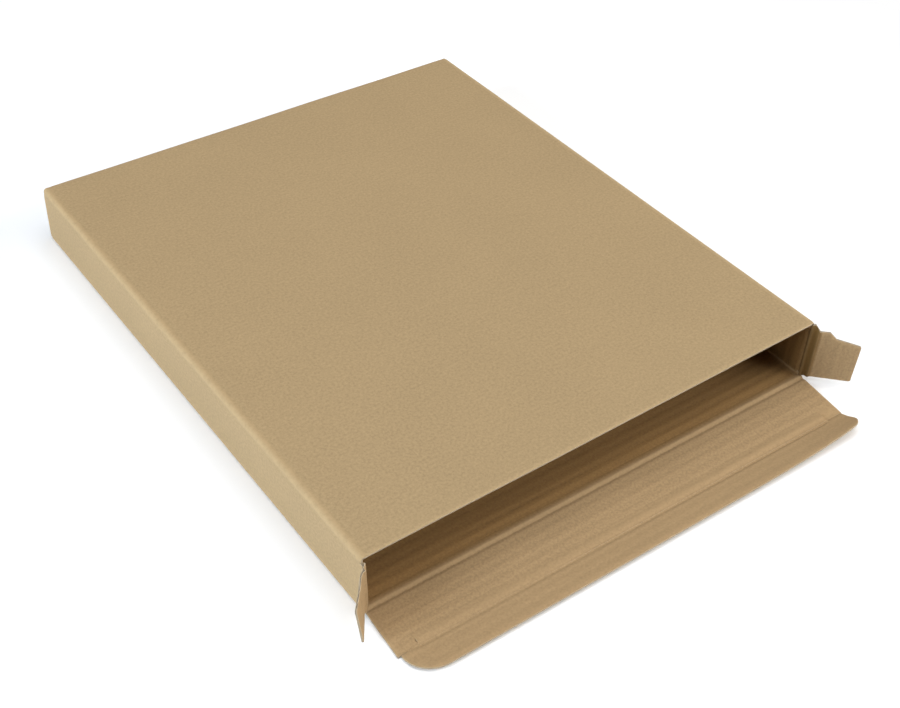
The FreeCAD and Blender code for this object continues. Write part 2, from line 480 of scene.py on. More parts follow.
def bumps_at(out, bumps):
    """Sum of bumps, each given by its height, its place and its one or two widths."""
    return sum(height * ridge(out, *form) for height, *form in bumps)


def crease_relief(out, bumps):
    """Height of the inner face about a crease: its bumps, as shares of the bead's height."""
    return settings("carton_board").bead_height * bumps_at(out, bumps)


def mark_at(across, back, form):
    """Oblong mark: a bump in one direction times a bump in the other."""
    strength, width, place, depth = form
    return strength * hump(across, width) * hump(back - place, depth)


def sheet_faces(v, edge, root_distance, relief, proud=0.00002):
    """Heights of a flat sheet's two faces above its outer plane.

    Both faces dip into the carrying panel at the root, sink towards each other at the cut
    edges by the crush, and the inner one has the relief and the washboard as well.
    """
    board = settings("carton_board")
    dip = ROOT_DIP * hump(root_distance, ROOT_DIP_WIDTH)
    thin = board.rim_crush / 2 * hump(edge, FLAP_CRUSH)
    valleys = washboard(v)
    inner = BOARD + proud + relief + valleys - thin - dip
    outer = proud + thin + dip - valleys * 0.5
    return inner, outer


def loop_profile(half_width, low, high, radius, along_panel, along_wall):
    """Rounded rectangle in the XZ plane as points, and each point's outward direction.

    It starts on the underside at the left and runs right, up, left and down. Each straight is
    the fractions given, and each corner is a quarter circle in equal steps.
    """
    centres = [
        (half_width - radius, low + radius), (half_width - radius, high - radius),
        (radius - half_width, high - radius), (radius - half_width, low + radius),
    ]
    points, normals, panels = [], [], []
    steps = np.linspace(0, 1, ARC_STEPS + 1)
    for number in range(4):
        heading = -QUARTER_TURN + number * QUARTER_TURN
        outward = np.array([math.cos(heading), math.sin(heading)])
        start = np.array(centres[number - 1]) + radius * outward
        stop = np.array(centres[number]) + radius * outward
        fractions = along_panel if number % 2 == 0 else along_wall
        inside = fractions[1:-1, None]
        points.append(start + (stop - start) * inside)
        normals.append(np.broadcast_to(outward, (len(inside), 2)))
        panels.append(np.full(len(inside), number))
        turn = heading + steps * QUARTER_TURN
        ring = np.stack([np.cos(turn), np.sin(turn)], axis=-1)
        points.append(np.array(centres[number]) + radius * ring)
        normals.append(ring)
        panels.append(np.full(len(turn), -1))
    return np.concatenate(points), np.concatenate(normals), np.concatenate(panels)


def build_sleeve():
    """Tube of board: an outer and an inner rounded rectangle carried along Y.

    Each grid point is the profile's point plus its outward direction times a height. The height
    is slow waves that die out at the folds, a shallow valley beside each fold, the washboard,
    and the crush at the raw ends. The wall ends are set back where the dust flaps' sheets are.
    """
    board = settings("carton_board")
    width = 2 * (HALF_WIDTH - board.fold_radius)
    tall = HEIGHT - 2 * board.fold_radius
    along_panel = spread(0, width, PANEL_STEP, BY_FOLD) / width
    along_wall = spread(0, tall, WALL_STEP, BY_FOLD) / tall
    outer_xz, normal, panel = loop_profile(
        HALF_WIDTH, 0.0, HEIGHT, board.fold_radius, along_panel, along_wall
    )
    inner_xz, _, _ = loop_profile(
        HALF_WIDTH - BOARD, BOARD, HEIGHT - BOARD, board.inner_fold_radius, along_panel, along_wall
    )
    to_fold = np.minimum(
        np.where(panel % 2 == 0, (width / 2 - np.abs(outer_xz[:, 0])), 1.0),
        np.where(panel % 2 == 1, (tall / 2 - np.abs(outer_xz[:, 1] - HEIGHT / 2)), 1.0),
    )
    to_fold = np.where(panel < 0, 0.0, np.maximum(to_fold, 0.0))
    step = np.linalg.norm(np.roll(outer_xz, -1, axis=0) - outer_xz, axis=1)
    around = np.concatenate([[0.0], np.cumsum(step)])
    end_zone = np.arange(0, END_ZONE, board.flute_pitch / 6)
    end_zone = np.unique(np.concatenate([end_zone, [0.0004, 0.0016]]))
    length = 2 * HALF_LENGTH
    zone_end = end_zone[-1] + 0.004
    middle = np.linspace(zone_end, length - zone_end, MIDDLE_ROWS)
    rows = np.concatenate([end_zone, middle, length - end_zone[::-1]]) / length
    z = outer_xz[:, 1]
    on_wall = np.isin(panel, (1, 3))
    flap_zone = smooth_step((z - DUST_BOTTOM) / 0.001) * smooth_step((DUST_ROOT_TOP - z) / 0.001)
    set_back = WALL_SET_BACK * flap_zone * on_wall
    y = -HALF_LENGTH + set_back + rows[:, None] * (length - 2 * set_back)
    to_end = HALF_LENGTH - set_back - np.abs(y)
    window = smooth_step(to_fold / 0.06)
    floor_side = (normal[:, 1] < -0.5)[None, :]
    slow = slow_waves(around[None, :-1], y, WAVE_SEEDS["sleeve"])
    waves = board.sag * window * slow * ~floor_side
    flat_part = panel >= 0
    valley = bumps_at(to_fold, FOLD_VALLEY) * flat_part
    crushed = bumps_at(to_fold, FOLD_CRUSH) * flat_part
    fade = smooth_step((END_ZONE - to_end) / END_FADE)
    ripple = washboard(y) * fade * smooth_step(to_fold / 0.004)
    thin = board.rim_crush / 2 * hump(to_end, MOUTH_CRUSH)
    outer_height = waves - thin + (valley[None, :] + WASHBOARD_OUTSIDE * ripple)
    inner_height = waves + thin - ripple - crushed
    outer_height = np.where(floor_side, np.minimum(outer_height, 0.0), outer_height)

    def carried(profile, height):
        xz = profile[None] + normal[None] * height[..., None]
        return np.stack([xz[..., 0], y, xz[..., 1]], axis=-1)

    flat_u = np.broadcast_to(around[None], (len(rows), len(around)))
    flat_v = np.concatenate([y, y[:, :1]], axis=1)
    # Folds: scuffed paper and a painted highlight along them; mouth: scuffed edges.
    wear = np.maximum(hump(to_fold, 0.0012)[None], hump(to_end, SCUFFED_STRIP))
    # Painted shade on the right wall's inner face, save 2 mm at each end.
    right_wall = (panel == 1)[None] & (to_end > 0.002)
    wear = np.where(right_wall, RIGHT_WALL_SHADE, wear)
    piece = shell(
        "sleeve_board",
        settled(carried(inner_xz, inner_height), False),
        settled(carried(outer_xz, outer_height), False),
        np.stack([flat_u, flat_v], axis=-1),
        wear,
        wrap=True,
    )
    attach(piece, "sleeve")
    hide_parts("sleeve")


def build_lid(end):
    """Lid: a flat sheet from inside the bottom panel to the tuck crease.

    The point (u, out) lies at x = u, y = -(crease + out). The back lid is turned up by 90
    degrees about its crease, with a smooth step over the board that bends.
    """
    flaps = settings("carton_flaps")
    slit_end = LID_HALF - flaps.slit_length
    slit = slit_end + BY_SLIT
    u = stations(spread(-LID_HALF, LID_HALF, FLAP_STEP, BY_EDGE), slit, -slit)
    pitch = settings("carton_board").flute_pitch
    zone_end = 0.004
    zone = np.arange(-flaps.root, zone_end, CREASE_STEP)
    far = LID_DEPTH - 0.00003
    out = stations(zone, spread(zone_end, far, pitch / 6, [0.0006, 0.0015]))
    u, out = np.meshgrid(u, out)
    edge = LID_HALF - np.abs(u)
    hook = mark_at(np.abs(u) - slit_end, far - out, SLIT_HOOK)
    relief = crease_relief(out, LID_BUMPS) + hook
    waves = 0.00015 * slow_waves(u, out, WAVE_SEEDS[end])
    v = -(LID_CREASE + out)
    inner, outer = sheet_faces(v, edge, out + flaps.root, relief)
    lift = np.maximum(waves * smooth_step(out / 0.01), 0.0)
    faces = []
    for height in (inner + lift, outer + lift):
        points = np.stack([u, v, height], axis=-1)
        if end == "back":
            share = smooth_step((out + flaps.crease_reach) / (2 * flaps.crease_reach))
            points = turned(points, (0, -LID_CREASE, BOARD), -ALONG_X, share * QUARTER_TURN)
        faces.append(at_end(points, end == "front", True))
    right = np.clip((u + LID_HALF) / (2 * LID_HALF), 0.0, 1.0)
    # Scuffed board and a painted highlight in a band before the tuck crease, stronger to the right.
    swell_scuff_and_highlight = 0.9 * right**2 * hump(out - LID_DEPTH + 0.0045, 0.004)
    # Painted highlight on the crest of the lid crease's bead.
    crest_highlight = 0.6 * hump(out - 0.0001, 0.0010)
    wear = np.maximum(np.maximum(hump(edge, SCUFFED_STRIP), swell_scuff_and_highlight), crest_highlight)
    if end == "front":
        wear = np.maximum(wear, mark_at(u - slit_end - 0.001, far - out, SLIT_TEAR))
    piece = shell(end + "_lid_board", faces[0], faces[1], np.stack([u, v], axis=-1), wear)
    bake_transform(piece)
    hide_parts(end + "_lid")


def build_tuck(end):
    """Tuck flap: a sheet whose root runs on into the lid between the two slits.

    Rows before the crease are squeezed to nothing outside the slits by a smooth step in u. Rows
    after it are shares of the depth at u, which falls by a quarter circle at each end. The flap
    is then turned up about its crease.
    """
    flaps = settings("carton_flaps")
    front = end == "front"
    slit_end = LID_HALF - flaps.slit_length
    right_radius = flaps.tuck_right_corner if front else flaps.tuck_corner
    right_half = LID_HALF - 0.0005 if front else TUCK_HALF
    quarter = np.sin(np.linspace(0, QUARTER_TURN, 16))
    left_bend = -(quarter * flaps.tuck_corner + TUCK_HALF - flaps.tuck_corner)
    right_bend = quarter * right_radius + right_half - right_radius
    middle = spread(left_bend[0], right_bend[0], FLAP_STEP)
    slit = slit_end + BY_SLIT
    u = stations(middle, left_bend, right_bend, slit, -slit)
    radius = np.where(u < 0, flaps.tuck_corner, right_radius)
    half = np.where(u < 0, TUCK_HALF, right_half)
    inward = np.clip(np.abs(u) - (half - radius), 0.0, radius)
    depth = flaps.tuck_depth - radius + np.sqrt(radius**2 - inward**2)
    root_rows = np.arange(-TUCK_ROOT, -0.0001, 0.0005)
    zone = np.array([0.0004, 0.0008, 0.0012, 0.0016, 0.0022]) / flaps.tuck_depth
    shares = stations(spread(0, 1, 0.055, [0.02, 0.045, 0.08]), zone, digits=5)
    held = smooth_step((slit_end - np.abs(u)) / 0.0003 + 0.5)
    into_slit = (np.abs(u) - slit_end) / flaps.slit_length
    gap = SLIT_GAP + SLIT_OPENING * smooth_step(into_slit - 0.2)
    first = root_rows[:, None] * (0.004 + 0.996 * held) + gap * (1 - held)
    second = gap + shares[:, None] * (depth - gap)
    out = np.concatenate([first, second])
    u, held, radius, half = (np.broadcast_to(part, out.shape) for part in (u, held, radius, half))
    round_end = (np.abs(u) > half - radius) & (out > flaps.tuck_depth - radius)
    to_round = radius - np.hypot(np.abs(u) - half + radius, out - flaps.tuck_depth + radius)
    to_side = np.where(np.abs(u) > slit_end, half - np.abs(u), 1.0)
    edge = np.where(round_end, to_round, np.minimum(to_side, flaps.tuck_depth - out))
    edge = np.maximum(edge, 0.0)
    from_root = np.where(held > 0.5, out + TUCK_ROOT, 1.0)
    right = np.clip((u + TUCK_HALF) / (2 * TUCK_HALF), 0.0, 1.01)
    relief = crease_relief(out, TUCK_BUMPS) * (0.4 + 0.9 * right**2) * held
    v = -(LID_CREASE + LID_DEPTH + out)
    inner, outer = sheet_faces(v, edge, from_root, relief, 0.00005)
    if front:
        tip = np.sqrt(np.clip(out / flaps.tuck_depth, 0.0, 1.0))
        angle = flaps.tuck_lift + flaps.tuck_twist * right + flaps.tuck_curl * right**10 * tip
    else:
        angle = np.full(u.shape, QUARTER_TURN)
    share = smooth_step((out + flaps.crease_reach) / (2 * flaps.crease_reach))
    crease = (0, -LID_CREASE - LID_DEPTH, BOARD)
    faces = []
    for height in (inner, outer):
        points = turned(np.stack([u, v, height], axis=-1), crease, -ALONG_X, share * angle)
        if not front:
            points = turned(points, (0, -LID_CREASE, BOARD), -ALONG_X, QUARTER_TURN)
        faces.append(at_end(points, front, True))
    # Scuffed board and a painted highlight in a band before the tuck crease, stronger to the right.
    swell_scuff_and_highlight = (0.4 + 0.5 * right**2) * hump(out + 0.0035, 0.0035) * held
    # The flap beyond its crease is made lighter.
    lighter_flap = 0.4 * smooth_step(out / 0.004)
    wear = np.maximum(np.maximum(hump(edge, SCUFFED_STRIP), swell_scuff_and_highlight), lighter_flap)
    piece = shell(end + "_tuck_board", faces[0], faces[1], np.stack([u, v], axis=-1), wear)
    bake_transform(piece)
    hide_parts(end + "_tuck_flap")


def dust_top_at(out, web):
    """Height of a dust flap's top edge: a level shoulder, a slope and a slow fall to the end.

    The web is how far the creased board before the shoulder reaches up.
    """
    flaps = settings("carton_flaps")
    shoulder = DUST_ROOT_TOP - 0.001
    slope_end = flaps.dust_shoulder + flaps.dust_step
    low = shoulder - flaps.dust_step_drop
    web_top = DUST_ROOT_TOP + web - 0.0004
    outline = (
        (-0.01, DUST_ROOT_TOP), (0.00005, DUST_ROOT_TOP), (0.0004, web_top), (0.0014, web_top),
        (0.0019 + 0.7 * web, shoulder), (flaps.dust_shoulder, shoulder), (slope_end, low),
        (flaps.dust_length, low - flaps.dust_end_drop),
    )
    return np.interp(out, *zip(*outline))


def build_dust(end, side):
    """Dust flap: an upright sheet from inside the side wall, turned about its crease.

    The point (u, out) lies at height bottom + u (top - bottom), where top is the edge's height
    at that distance out. The end's corners are rounded by a quarter circle's fall. An open flap
    is turned by an angle that changes evenly from its bottom to its top edge.
    """
    flaps = settings("carton_flaps")
    pitch = settings("carton_board").flute_pitch
    front = end == "front"
    corner = DUST_CORNER
    length = flaps.dust_length
    zone_end = 0.005
    zone = np.arange(-flaps.root, zone_end, CREASE_STEP)
    bend = length - corner * (1 - np.sin(np.linspace(0, QUARTER_TURN, 7)))
    kinks = [flaps.dust_shoulder, flaps.dust_shoulder + flaps.dust_step]
    out = stations(zone, spread(zone_end, length - corner, pitch / 6), bend, kinks)
    shares = spread(0, 1, 0.06, [0.01, 0.025, 0.05])
    web = flaps.right_web if front and side == "right" else 0.0
    round_in = np.clip(out - (length - corner), 0.0, corner)
    fall = corner - np.sqrt(corner**2 - round_in**2)
    low, high = DUST_BOTTOM + fall, dust_top_at(out, web) - fall
    z = low[:, None] + shares[None] * (high - low)[:, None]
    out = np.broadcast_to(out[:, None], z.shape)
    edge = np.minimum(np.minimum(z - low[:, None], high[:, None] - z), length - out)
    edge = np.where(out < 0.001, np.maximum(edge, 0.001), edge)
    reach = flaps.crease_reach
    crease = flaps.dust_crease if front else 0.0
    height_share = (z - DUST_BOTTOM) / (DUST_ROOT_TOP - DUST_BOTTOM)
    relief = crease_relief(out - crease, DUST_BUMPS)
    if front and side == "left":
        bow = smooth_step(1.15 - height_share) * smooth_step(height_share / 0.25 + 0.3)
        relief = relief + flaps.left_bow * bow * hump(out - crease, 0.0024)
    along = np.clip(out / length, 0.0, 1.0)
    if front:
        angles = flaps.left_splay if side == "left" else flaps.right_splay
        inward = -(angles[0] + (angles[1] - angles[0]) * height_share)
        stretch = flaps.right_stretch if side == "right" else 0.0
        rise = flaps.left_rise * along**1.5 if side == "left" else 0.0
        reached = out + along * (stretch - flaps.dust_slant * (1 - height_share))
    else:
        inward, rise = QUARTER_TURN, 0.0
        reached = out - along * flaps.dust_slant * (1 - height_share)
    v = -(HALF_LENGTH + reached)
    inner, outer = sheet_faces(v, np.maximum(edge, 0.0), out + flaps.root, relief)
    share = smooth_step((reached - crease + reach) / (2 * reach))
    pivot = (-WALL_MIDDLE, -HALF_LENGTH - crease, 0)
    mirror = np.array([-1.0 if (side == "right") == front else 1.0, 1.0, 1.0])
    faces = []
    for height in (inner, outer):
        points = np.stack([height - HALF_WIDTH, v, z + rise], axis=-1)
        points = turned(points, pivot, ALONG_Z, share * inward) * mirror
        faces.append(at_end(points, front))
    wear = np.maximum(hump(edge, SCUFFED_STRIP), 0.6 * hump(out - crease, 0.0022))
    if front:
        # Painted light: the open flaps are lighter from 6 mm past the crease.
        wear = np.where(out > 0.006, np.maximum(wear, 0.15), wear)
    if front and side == "right":
        # Painted shade: a dark band along the right flap's crease, less dark on its two crests.
        band = smooth_step((out + 0.003) / 0.003) * smooth_step((0.0062 - out) / 0.0022)
        crests = hump(out - crease + 0.0012, 0.0006) + hump(out - crease - 0.0022, 0.0006)
        wear = wear * (1 - band) - band * (1 - 0.3 * crests)
    flat = np.stack([z, v], axis=-1)
    piece = shell(f"{end}_{side}_dust_board", faces[0], faces[1], flat, wear)
    node = f"{end}_{side}_dust_flap"
    if front:
        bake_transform(piece)
    else:
        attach(piece, "sleeve")
    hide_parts(node)


def add_node(tree, kind, inputs=None, **values):
    """New node with its properties set, and its inputs linked to a socket or set to a value."""
    made = tree.nodes.new(kind)
    for key, value in values.items():
        setattr(made, key, value)
    for key, value in (inputs or {}).items():
        if isinstance(value, bpy.types.NodeSocket):
            tree.links.new(value, made.inputs[key])
        else:
            made.inputs[key].default_value = value
    return made


def calculated(tree, operation, first, second=0.0, third=0.0):
    """Result of one Math node."""
    inputs = {0: first, 1: second, 2: third}
    return add_node(tree, "ShaderNodeMath", inputs, operation=operation).outputs[0]


def tinted(tree, factor, first, second, blend="MIX"):
    """Result of mixing two colours."""
    inputs = {0: factor, 6: first, 7: second}
    made = add_node(tree, "ShaderNodeMix", inputs, data_type="RGBA", blend_type=blend)
    return made.outputs[2]


def ranged(tree, value, low, high, new_low=0.0, new_high=1.0):
    """Value moved from one range to another, smoothly and within its ends."""
    inputs = {0: value, 1: low, 2: high, 3: new_low, 4: new_high}
    made = add_node(tree, "ShaderNodeMapRange", inputs, interpolation_type="SMOOTHSTEP")
    return made.outputs[0]


def grained(tree, vector, scale, detail, roughness=0.5):
    """Noise between 0 and 1 at a scale in features to the metre."""
    inputs = {"Vector": vector, "Scale": scale, "Detail": detail, "Roughness": roughness}
    return add_node(tree, "ShaderNodeTexNoise", inputs).outputs["Fac"]


def stretched(tree, vector, turn, scale):
    """Coordinates turned about Z and scaled along each axis."""
    inputs = {"Vector": vector, "Rotation": (0, 0, turn), "Scale": scale}
    return add_node(tree, "ShaderNodeMapping", inputs).outputs[0]


def effect_group(name, inputs, outputs):
    """Empty node group, and its input and output sockets.

    It takes the board's coordinates and the inputs, which are numbers, and gives numbers.
    """
    tree = bpy.data.node_groups.new(name, "ShaderNodeTree")
    tree.interface.new_socket("Board", in_out="INPUT", socket_type="NodeSocketVector")
    for label, value in inputs.items():
        socket = tree.interface.new_socket(label, in_out="INPUT", socket_type="NodeSocketFloat")
        socket.default_value = value
    for label in outputs:
        tree.interface.new_socket(label, in_out="OUTPUT", socket_type="NodeSocketFloat")
    entry, result = tree.nodes.new("NodeGroupInput"), tree.nodes.new("NodeGroupOutput")
    return tree, entry.outputs, result.inputs


def make_fibre_group():
    """Paper fibres: fine grain, pale strands and dark flecks lying in three directions."""
    outputs = ("Grain", "Pale", "Dark", "Height")
    tree, entry, result = effect_group("paper_fibres", {"Strength": 1.0}, outputs)
    board = entry["Board"]
    fine = grained(tree, board, 1500.0, 4.0, 0.65)
    coarse = grained(tree, board, 620.0, 3.0, 0.6)
    grain = calculated(tree, "MULTIPLY_ADD", fine, 0.3, calculated(tree, "MULTIPLY", coarse, 0.7))
    strands = [
        grained(tree, stretched(tree, board, math.radians(turn), (2100.0, 330.0, 1.0)), 1.0, 2.0)
        for turn in (8, 64, -47)
    ]
    pale = calculated(tree, "MAXIMUM", strands[0], strands[1])
    pale_mask = ranged(tree, pale, 0.60, 0.78)
    dark_mask = ranged(tree, strands[2], 0.62, 0.80)
    tree.links.new(grain, result["Grain"])
    tree.links.new(calculated(tree, "MULTIPLY", pale_mask, entry["Strength"]), result["Pale"])
    tree.links.new(calculated(tree, "MULTIPLY", dark_mask, entry["Strength"]), result["Dark"])
    height = calculated(tree, "MULTIPLY_ADD", pale_mask, 0.4, grain)
    tree.links.new(height, result["Height"])


def make_cloud_group():
    """Uneven colour of recycled paper: clouds of 8 to 60 mm between -1 and 1."""
    tree, entry, result = effect_group("paper_clouds", {}, ("Cloud",))
    large = grained(tree, entry["Board"], 16.0, 3.0)
    small = grained(tree, entry["Board"], 110.0, 3.0, 0.6)
    both = calculated(tree, "MULTIPLY_ADD", large, 0.6, calculated(tree, "MULTIPLY", small, 0.4))
    tree.links.new(ranged(tree, both, 0.32, 0.68, -1.0, 1.0), result["Cloud"])


def make_flute_group():
    """Washboard lines: a sine over the flute pitch, bent by noise and faded in patches."""
    tree, entry, result = effect_group("flute_lines", {"Pitch": 0.0064}, ("Line", "Height"))
    parts = add_node(tree, "ShaderNodeSeparateXYZ", {0: entry["Board"]}).outputs
    bent = grained(tree, entry["Board"], 24.0, 1.0)
    wander = calculated(tree, "MULTIPLY", bent, 1.1)
    turns = calculated(tree, "DIVIDE", parts["Y"], entry["Pitch"])
    phase = calculated(tree, "MULTIPLY_ADD", turns, 2 * math.pi, wander)
    wave = calculated(tree, "COSINE", phase)
    along = stretched(tree, entry["Board"], 0.0, (5.0, 150.0, 1.0))
    patch = ranged(tree, grained(tree, along, 1.0, 2.0), 0.35, 0.65, 0.35, 1.0)
    streak = stretched(tree, entry["Board"], 0.0, (9.0, 620.0, 1.0))
    streaks = calculated(tree, "SUBTRACT", grained(tree, streak, 1.0, 3.0), 0.5)
    # Line is painted shade of the washboard's valleys, plus fine streaks along the flutes.
    lines = calculated(tree, "MULTIPLY_ADD", streaks, 2.4, calculated(tree, "MULTIPLY", wave, 0.5))
    tree.links.new(calculated(tree, "MULTIPLY", lines, patch), result["Line"])
    tree.links.new(calculated(tree, "MULTIPLY", wave, patch), result["Height"])


def make_scuff_and_highlight_group():
    """Scuffed folds and edges with painted highlights: the piece's level above zero, broken up by
    noise.
    """
    inputs = {"Wear": 0.0, "Amount": 1.0}
    tree, entry, result = effect_group("edge_scuff", inputs, ("Scuff",))
    broken = ranged(tree, grained(tree, entry["Board"], 260.0, 4.0, 0.7), 0.30, 0.62, 0.35, 1.0)
    above = calculated(tree, "MAXIMUM", entry["Wear"], 0.0)
    wear_and_light_level = calculated(tree, "MULTIPLY", above, broken)
    tree.links.new(calculated(tree, "MULTIPLY", wear_and_light_level, entry["Amount"]), result["Scuff"])


def placed_group(tree, name, inputs):
    """Outputs of a node group placed in a material."""
    made = add_node(tree, "ShaderNodeGroup", inputs, node_tree=bpy.data.node_groups[name])
    return made.outputs


def new_material(name):
    """Node tree of a new material, and its Principled shader."""
    material = bpy.data.materials.new(name)
    material.use_nodes = True
    return material.node_tree, material.node_tree.nodes["Principled BSDF"]


def add_bump(tree, shader, strength, distance, height):
    """Bump of that height on a material's shader."""
    inputs = {"Strength": strength, "Distance": distance, "Height": height}
    bump = add_node(tree, "ShaderNodeBump", inputs)
    tree.links.new(bump.outputs[0], shader.inputs["Normal"])


def scaled(colour, factor):
    """Colour made lighter or darker by a factor, with full alpha."""
    return tuple(min(1.0, part * factor) for part in colour) + (1.0,)


def make_liner(name, colour, inside_shade_colour, line_strength, cloud_strength):
    """Face of the board: clouded kraft paper with fibres, flute lines of painted shade, scuffs and
    painted highlights.

    Its colour turns to a darker, browner painted shade from the mouth inwards, by the board's own
    coordinates, and to a darker painted shade again where the level of wear and light is below
    zero.
    """
    finish = settings("carton_finish")
    tree, shader = new_material(name)
    board = add_node(tree, "ShaderNodeUVMap", uv_map="board").outputs[0]
    wear_and_light_level = add_node(tree, "ShaderNodeAttribute", attribute_name="wear").outputs["Fac"]
    fibres = placed_group(tree, "paper_fibres", {"Board": board, "Strength": finish.fibre_strength})
    clouds = placed_group(tree, "paper_clouds", {"Board": board})
    pitch = settings("carton_board").flute_pitch
    flutes = placed_group(tree, "flute_lines", {"Board": board, "Pitch": pitch})
    scuff_and_highlight = placed_group(tree, "edge_scuff", {"Board": board, "Wear": wear_and_light_level, "Amount": 0.8})
    parts = add_node(tree, "ShaderNodeSeparateXYZ", {0: board}).outputs
    # Painted shade: from nothing 2 mm before the mouth to full 3.5 mm inside it, the inner face
    # darkens and turns browner.
    inside_shade = ranged(tree, parts["Y"], -HALF_LENGTH - 0.0020, -HALF_LENGTH + 0.0035)
    contrast = 0.13 + 0.2 * line_strength
    shade = ranged(tree, fibres["Grain"], 0.32, 0.68, 1 - contrast, 1 + contrast)
    shade = calculated(tree, "MULTIPLY_ADD", clouds["Cloud"], cloud_strength, shade)
    # Painted shade: the flute lines are twice as strong away from the mouth.
    strength = calculated(tree, "MULTIPLY_ADD", inside_shade, line_strength, line_strength)
    shade = calculated(tree, "MULTIPLY_ADD", flutes["Line"], strength, shade)
    tone = tinted(tree, inside_shade, scaled(colour, 1.0), inside_shade_colour)
    base = tinted(tree, 1.0, tone, shade, "MULTIPLY")
    for label, share, lightness in (("Pale", 0.22, 1.45), ("Dark", 0.30, 0.50)):
        mask = calculated(tree, "MULTIPLY", fibres[label], share)
        base = tinted(tree, mask, base, scaled(colour, lightness))
    # Scuffed paper and painted highlights: lighter colour where the level is above zero.
    base = tinted(tree, scuff_and_highlight["Scuff"], base, scaled(colour, 1.25))
    # Painted shade: a darker brown where the level is below zero.
    shade_share = calculated(tree, "MULTIPLY", wear_and_light_level, -0.9)
    red, green, blue = inside_shade_colour[:3]
    base = tinted(tree, shade_share, base, (0.42 * red, 0.38 * green, 0.18 * blue, 1.0))
    tree.links.new(base, shader.inputs["Base Color"])
    rough = ranged(tree, fibres["Grain"], 0.2, 0.8, 0.72, 0.88)
    tree.links.new(rough, shader.inputs["Roughness"])
    shader.inputs["Specular IOR Level"].default_value = 0.18
    line_height = 20 * line_strength
    relief = calculated(tree, "MULTIPLY_ADD", flutes["Height"], line_height, fibres["Height"])
    add_bump(tree, shader, 0.5, 0.00006, relief)


def make_cut_edge(name, colour, open_ends):
    """Cut edge of the board: two pale liners with the wavy paper between, and the gaps darkened as
    painted shade of the hollow flutes.

    Across the flutes the wavy paper shows as a sine over the pitch, and along them as one line.
    """
    tree, shader = new_material(name)
    board = add_node(tree, "ShaderNodeUVMap", uv_map="board").outputs[0]
    parts = add_node(tree, "ShaderNodeSeparateXYZ", {0: board}).outputs
    fibres = placed_group(tree, "paper_fibres", {"Board": board, "Strength": 1.0})
    across = calculated(tree, "DIVIDE", parts["Y"], BOARD)
    from_middle = calculated(tree, "SUBTRACT", across, 0.5)
    if open_ends:
        pitch = settings("carton_board").flute_pitch
        turns = calculated(tree, "MULTIPLY", parts["X"], 2 * math.pi / pitch)
        wave = calculated(tree, "MULTIPLY", calculated(tree, "SINE", turns), 0.30)
    else:
        wave = calculated(tree, "MULTIPLY", grained(tree, board, 180.0, 2.0), 0.12)
    from_paper = calculated(tree, "ABSOLUTE", calculated(tree, "SUBTRACT", from_middle, wave))
    paper = ranged(tree, from_paper, 0.06, 0.13, 1.0, 0.0)
    liner = ranged(tree, calculated(tree, "ABSOLUTE", from_middle), 0.34, 0.40)
    solid = calculated(tree, "MAXIMUM", paper, liner)
    shade = ranged(tree, fibres["Grain"], 0.2, 0.8, 0.8, 1.15)
    # Painted shade in the hollow flutes: darker where they are open end-on.
    gap = scaled(colour, 0.45 if open_ends else 0.72)
    base = tinted(tree, solid, gap, scaled(colour, 1.18))
    base = tinted(tree, 1.0, base, shade, "MULTIPLY")
    tree.links.new(base, shader.inputs["Base Color"])
    shader.inputs["Roughness"].default_value = 0.92
    shader.inputs["Specular IOR Level"].default_value = 0.2
    relief = calculated(tree, "MULTIPLY_ADD", fibres["Grain"], 0.4, solid)
    add_bump(tree, shader, 0.6, 0.0002, relief)


def seen_directly(tree):
    """1 for camera, glossy and transmission rays, and 0 for the rays that carry light."""
    path = add_node(tree, "ShaderNodeLightPath").outputs
    seen = calculated(tree, "MAXIMUM", path["Is Camera Ray"], path["Is Glossy Ray"])
    return calculated(tree, "MAXIMUM", seen, path["Is Transmission Ray"])


def make_floor_material(colour):
    """Plain pale floor that keeps the shadow near the carton and is white further out."""
    tree, shader = new_material("stage_floor")
    shader.inputs["Base Color"].default_value = colour
    shader.inputs["Roughness"].default_value = 0.9
    shader.inputs["Specular IOR Level"].default_value = 0.0
    place = add_node(tree, "ShaderNodeTexCoord").outputs["Object"]
    distance = add_node(tree, "ShaderNodeVectorMath", {0: place}, operation="LENGTH")
    far = ranged(tree, distance.outputs["Value"], FLOOR_NEAR, FLOOR_FAR)
    share = calculated(tree, "MULTIPLY", far, seen_directly(tree))
    white = add_node(tree, "ShaderNodeEmission", {"Strength": 1.0}).outputs[0]
    both = add_node(tree, "ShaderNodeMixShader", {0: share, 1: shader.outputs[0], 2: white})
    tree.links.new(both.outputs[0], tree.nodes["Material Output"].inputs["Surface"])
    return bpy.data.materials["stage_floor"]


def make_sky(strength):
    """World that lights evenly, and that the camera and glossy rays see as white."""
    world = bpy.data.worlds.new("stage_sky")
    world.use_nodes = True
    tree = world.node_tree
    background = tree.nodes["Background"]
    level = calculated(tree, "MULTIPLY_ADD", seen_directly(tree), 1.0 - strength, strength)
    background.inputs["Color"].default_value = (1.0, 1.0, 1.0, 1.0)
    tree.links.new(level, background.inputs["Strength"])
    bpy.context.scene.world = world


def aimed(place, target, roll=0.0):
    """Matrix of something at place whose -Z points at target, leaning by roll."""
    look = (target - place).to_track_quat("-Z", "Y").to_matrix().to_4x4()
    return Matrix.Translation(place) @ look @ Matrix.Rotation(roll, 4, "Z")


